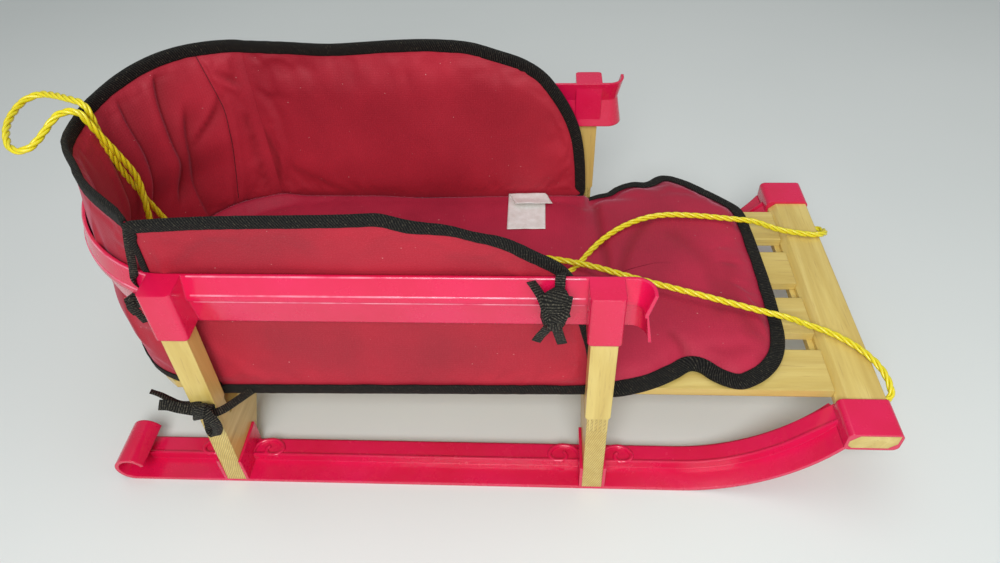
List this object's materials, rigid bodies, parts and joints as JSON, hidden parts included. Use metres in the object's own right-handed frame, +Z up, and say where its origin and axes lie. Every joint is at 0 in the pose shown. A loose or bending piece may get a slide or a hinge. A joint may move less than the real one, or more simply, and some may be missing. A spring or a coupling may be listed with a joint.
{
  "type": "baby sled",
  "caption": "Low wooden sled on moulded plastic runners, with a round-backed fabric seat tub inside a plastic rail, a padded front deck and a tow rope.",
  "frame": {"origin": "under the middle of the sled, on the surface that the runners stand on, rope left out", "axes": "+X forward, the way the sled is towed, +Y to its left, +Z up"},
  "size_m": [0.8616, 0.402, 0.3414],
  "materials": {
    "black_webbing": "ribbed webbing",
    "hardwood": "clear satin varnish",
    "red_fabric": "woven nylon",
    "red_plastic": "satin moulded plastic",
    "white_cloth": "plain woven label cloth",
    "yellow_rope": "twisted polypropylene"
  },
  "bodies": {
    "root": {"back_panel": "red_fabric", "care_tag": "white_cloth", "crossbeam_front": "hardwood", "crossbeam_rear": "hardwood", "foot_front_left": "hardwood", "foot_front_right": "hardwood", "foot_pad": "red_fabric", "foot_rear_left": "hardwood", "foot_rear_right": "hardwood", "front_board": "hardwood", "front_cleat": "hardwood", "runner_left": "red_plastic", "runner_right": "red_plastic", "seat_pad": "red_fabric", "seat_rail": "red_plastic", "side_panel_left": "red_fabric", "side_panel_right": "red_fabric", "slat_1": "hardwood", "slat_2": "hardwood", "slat_3": "hardwood", "slat_4": "hardwood", "tie_corner_left": "black_webbing", "tie_corner_right": "black_webbing", "tie_post_left": "black_webbing", "tie_post_right": "black_webbing", "tie_rail_left": "black_webbing", "tie_rail_right": "black_webbing", "tow_rope": "yellow_rope", "upright_front_left": "hardwood", "upright_front_right": "hardwood", "upright_rear_left": "hardwood", "upright_rear_right": "hardwood"}
  },
  "joints": []
}
